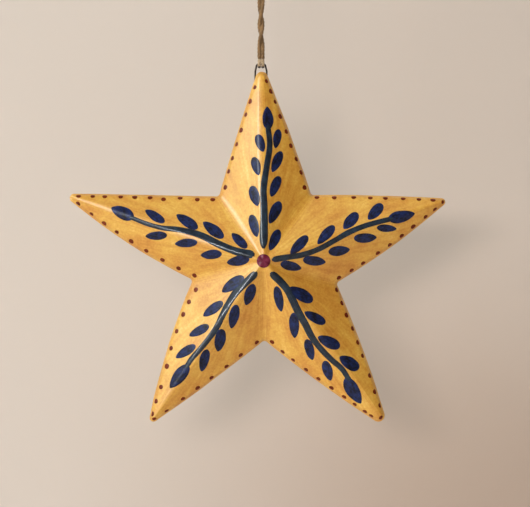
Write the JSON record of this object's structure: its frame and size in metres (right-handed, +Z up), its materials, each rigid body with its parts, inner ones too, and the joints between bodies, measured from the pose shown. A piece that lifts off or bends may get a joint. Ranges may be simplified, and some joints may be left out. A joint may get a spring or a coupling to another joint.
{
  "type": "hanging star ornament",
  "caption": "Hollow pressed tin star in painted halves with soft ridges, a lap seam and a wire loop, hung on a doubled twine.",
  "frame": {"origin": "the point just under the twine's knot where a hook carries the ornament", "axes": "+Z straight up along the twine, -Y out of the painted front, +X to the right seen from the front"},
  "size_m": [0.1794, 0.044, 0.2332],
  "materials": {
    "star_paint": "hand-brushed gloss paint",
    "wire": "dark annealed",
    "twine": "natural jute"
  },
  "bodies": {
    "twine": {"twine_knot": "twine", "twine_leg_left": "twine", "twine_leg_right": "twine"},
    "hitch": {"twine_hitch": "twine"},
    "star": {"front_shell": "star_paint", "back_shell": "star_paint", "seam_solder": "star_paint", "hanger_wire": "wire"}
  },
  "joints": [
    {"name": "twine_twist", "type": "hinge", "parent": "twine", "child": "hitch", "pos_m": [0, 0, -0.0473], "axis": [0, 0, 1], "range_deg": [-180, 180]},
    {"name": "loop_swing", "type": "hinge", "parent": "hitch", "child": "star", "pos_m": [0, 0, -0.05], "axis": [1, 0, 0], "range_deg": [-90, 90]}
  ]
}
